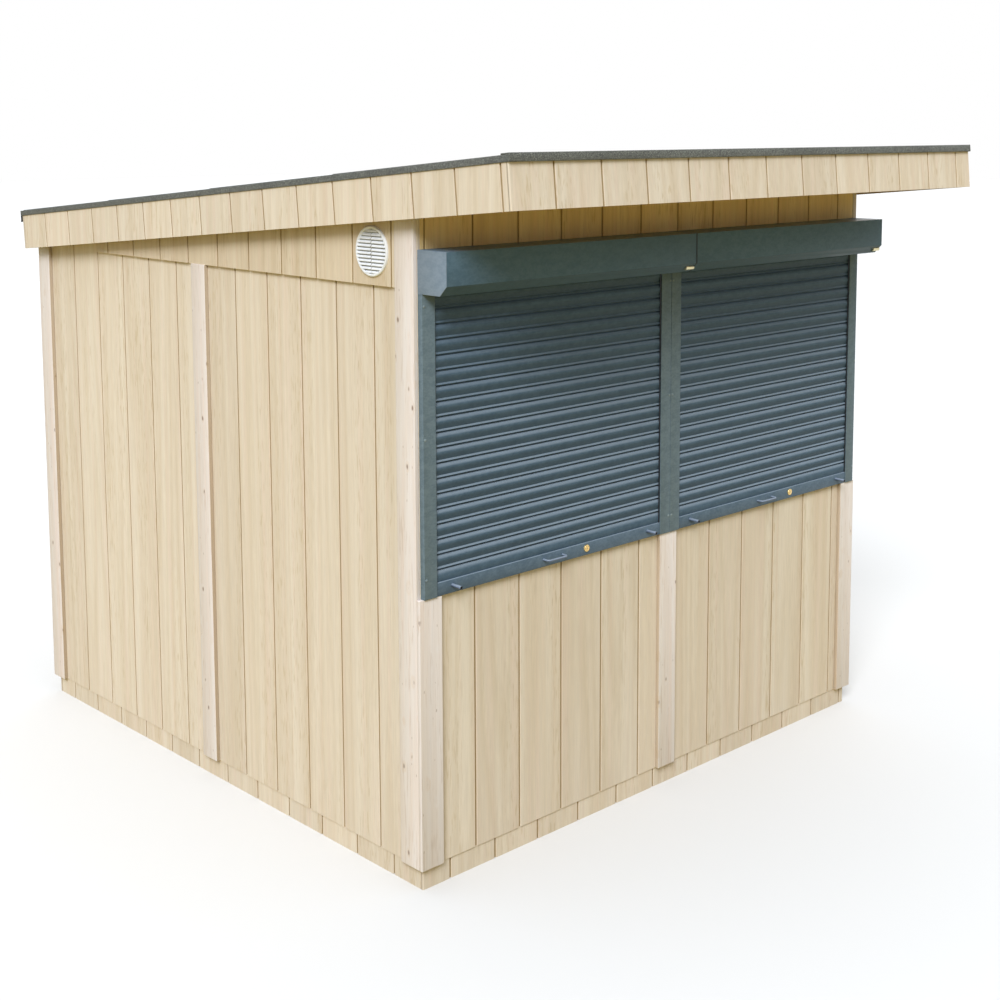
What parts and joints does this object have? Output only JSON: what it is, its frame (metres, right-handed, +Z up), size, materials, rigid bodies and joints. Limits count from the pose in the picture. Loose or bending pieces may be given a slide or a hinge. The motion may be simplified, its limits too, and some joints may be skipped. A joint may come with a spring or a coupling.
{
  "type": "wooden market hut",
  "caption": "Hollow boarded timber market hut with a mono-pitch felt roof, a deep front overhang, closed roller shutters over its serving hatches and a round gable vent.",
  "frame": {"origin": "on the ground under the middle of the floor, on the underside of the middle bearer", "axes": "+X to the hut's right as seen from the front, +Y from the shuttered front to the back, +Z up"},
  "size_m": [2.524, 3.0965, 2.4314],
  "materials": {
    "boards": "raw grooved boards",
    "planed_pine": "planed, untreated",
    "frame_timber": "sawn",
    "roof_felt": "mineral felt",
    "drip_metal": "black coated",
    "shutter_metal": "satin grey coating",
    "brass": "plain",
    "vent_plastic": "white"
  },
  "bodies": {
    "root": {"front_skirt": "boards", "back_skirt": "boards", "side_skirts": "boards", "left_wall": "boards", "right_wall": "boards", "back_wall": "boards", "front_lower_wall": "boards", "front_stiles": "boards", "front_header": "boards", "left_gable": "boards", "right_gable": "boards", "front_fascia": "boards", "back_fascia": "boards", "left_fascia": "boards", "right_fascia": "boards", "side_corner_boards": "planed_pine", "front_corner_boards": "planed_pine", "back_corner_boards": "planed_pine", "side_battens": "planed_pine", "front_batten": "planed_pine", "back_batten": "planed_pine", "floor_bearers": "frame_timber", "floor_deck": "frame_timber", "corner_posts": "frame_timber", "mid_posts": "frame_timber", "front_beam": "frame_timber", "back_beam": "frame_timber", "hatch_rails": "frame_timber", "rafters": "frame_timber", "eaves_blocks": "frame_timber", "roof_deck": "frame_timber", "roof_felt": "roof_felt", "front_edge_strip": "roof_felt", "back_drip_edge": "drip_metal", "left_shutter_box": "shutter_metal", "right_shutter_box": "shutter_metal", "box_end_caps": "shutter_metal", "guide_rails": "shutter_metal", "left_curtain": "shutter_metal", "right_curtain": "shutter_metal", "left_bottom_bar": "shutter_metal", "right_bottom_bar": "shutter_metal", "shutter_stops": "shutter_metal", "shutter_handles": "shutter_metal", "shutter_locks": "brass", "crank_sockets": "brass", "vent_grille": "vent_plastic"}
  },
  "joints": []
}
